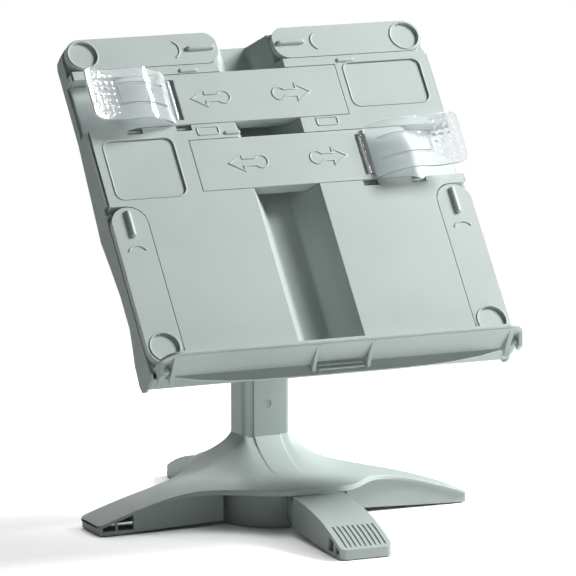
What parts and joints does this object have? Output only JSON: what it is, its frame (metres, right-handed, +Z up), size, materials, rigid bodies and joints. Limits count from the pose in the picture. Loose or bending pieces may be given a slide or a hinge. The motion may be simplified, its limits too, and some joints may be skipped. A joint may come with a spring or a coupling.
{
  "type": "desktop reading rack",
  "caption": "Sage plastic desktop book stand: tilting panel with fold-out holders, sliding clips and ledge on a telescopic column with cross feet.",
  "frame": {"origin": "on the desk, under the middle of the hub", "axes": "+Z up, +Y to the back, +X to the reader's right"},
  "size_m": [0.322, 0.348, 0.3825],
  "materials": {
    "sage_plastic": "satin",
    "dark_sage_plastic": "satin",
    "clear_plastic": "clear",
    "steel": "satin",
    "rubber": "matte",
    "brass": "plain"
  },
  "bodies": {
    "base": {"base_cover": "sage_plastic", "column_collar": "dark_sage_plastic", "stud_nut": "brass", "hub_screw": "steel", "hub_washer": "steel", "arm_pad_left": "rubber", "arm_pad_right": "rubber"},
    "feet": {"foot_bar": "sage_plastic", "foot_pad_front": "rubber", "foot_pad_back": "rubber"},
    "knob": {"height_knob": "dark_sage_plastic", "height_stud": "steel"},
    "mast": {"inner_column": "sage_plastic", "tilt_head": "dark_sage_plastic", "tilt_pin": "steel", "tilt_nut": "steel", "tilt_washer_left": "steel", "tilt_washer_right": "steel"},
    "panel": {"front_plate": "sage_plastic", "rear_shell": "sage_plastic", "hinge_plate": "dark_sage_plastic", "ledge_pin_left": "steel", "ledge_pin_right": "steel", "tilt_screw_1": "steel", "tilt_screw_2": "steel", "tilt_screw_3": "steel", "tilt_screw_4": "steel", "shell_screw_1": "steel", "shell_screw_2": "steel", "shell_screw_3": "steel", "shell_screw_4": "steel", "shell_screw_5": "steel", "shell_screw_6": "steel"},
    "upper_slider": {"upper_bar": "sage_plastic", "upper_bar_keeper": "steel", "upper_clip_pin": "steel"},
    "lower_slider": {"lower_bar": "sage_plastic", "lower_bar_keeper": "steel", "lower_clip_pin": "steel"},
    "upper_page_clip": {"upper_clip": "clear_plastic"},
    "lower_page_clip": {"lower_clip": "clear_plastic"},
    "book_ledge": {"ledge": "sage_plastic"},
    "holder_upper_left": {"arm_upper_left": "sage_plastic", "arm_upper_left_screw": "steel"},
    "holder_upper_right": {"arm_upper_right": "sage_plastic", "arm_upper_right_screw": "steel"},
    "holder_lower_left": {"arm_lower_left": "sage_plastic", "arm_lower_left_screw": "steel"},
    "holder_lower_right": {"arm_lower_right": "sage_plastic", "arm_lower_right_screw": "steel"}
  },
  "joints": [
    {"name": "feet_swivel", "type": "hinge", "parent": "base", "child": "feet", "pos_m": [0, 0, 0.0275], "axis": [0, 0, 1], "range_deg": [-30, 30]},
    {"name": "height_slide", "type": "slide", "parent": "base", "child": "mast", "axis": [0, 0, -1], "range_m": [0, 0.08]},
    {"name": "height_knob_turn", "type": "hinge", "parent": "base", "child": "knob", "pos_m": [0, 0.058, 0.14], "axis": [0, 1, 0], "range_deg": [0, 270]},
    {"name": "panel_tilt", "type": "hinge", "parent": "mast", "child": "panel", "pos_m": [0, 0.031, 0.266], "axis": [-1, 0, 0], "range_deg": [-28, 41]},
    {"name": "upper_bar_slide", "type": "slide", "parent": "panel", "child": "upper_slider", "axis": [-1, 0, 0], "range_m": [0, 0.04]},
    {"name": "lower_bar_slide", "type": "slide", "parent": "panel", "child": "lower_slider", "axis": [1, 0, 0], "range_m": [0, 0.04]},
    {"name": "upper_clip_hinge", "type": "hinge", "parent": "upper_slider", "child": "upper_page_clip", "pos_m": [-0.075, 0.03215, 0.33444], "axis": [0, 0.6239, 0.7815], "range_deg": [0, 90]},
    {"name": "lower_clip_hinge", "type": "hinge", "parent": "lower_slider", "child": "lower_page_clip", "pos_m": [0.075, -0.0056, 0.28715], "axis": [0, -0.6239, -0.7815], "range_deg": [0, 90]},
    {"name": "ledge_fold", "type": "hinge", "parent": "panel", "child": "book_ledge", "pos_m": [0, -0.12532, 0.15113], "axis": [-1, 0, 0], "range_deg": [0, 90]},
    {"name": "holder_upper_left_swing", "type": "hinge", "parent": "panel", "child": "holder_upper_left", "pos_m": [-0.14, 0.059, 0.3716], "axis": [0, -0.7815, 0.6239], "range_deg": [0, 180]},
    {"name": "holder_upper_right_swing", "type": "hinge", "parent": "panel", "child": "holder_upper_right", "pos_m": [0.14, 0.059, 0.3716], "axis": [0, 0.7815, -0.6239], "range_deg": [0, 180]},
    {"name": "holder_lower_left_swing", "type": "hinge", "parent": "panel", "child": "holder_lower_left", "pos_m": [-0.14, -0.10508, 0.16606], "axis": [0, -0.7815, 0.6239], "range_deg": [0, 90]},
    {"name": "holder_lower_right_swing", "type": "hinge", "parent": "panel", "child": "holder_lower_right", "pos_m": [0.14, -0.10508, 0.16606], "axis": [0, 0.7815, -0.6239], "range_deg": [0, 90]}
  ]
}
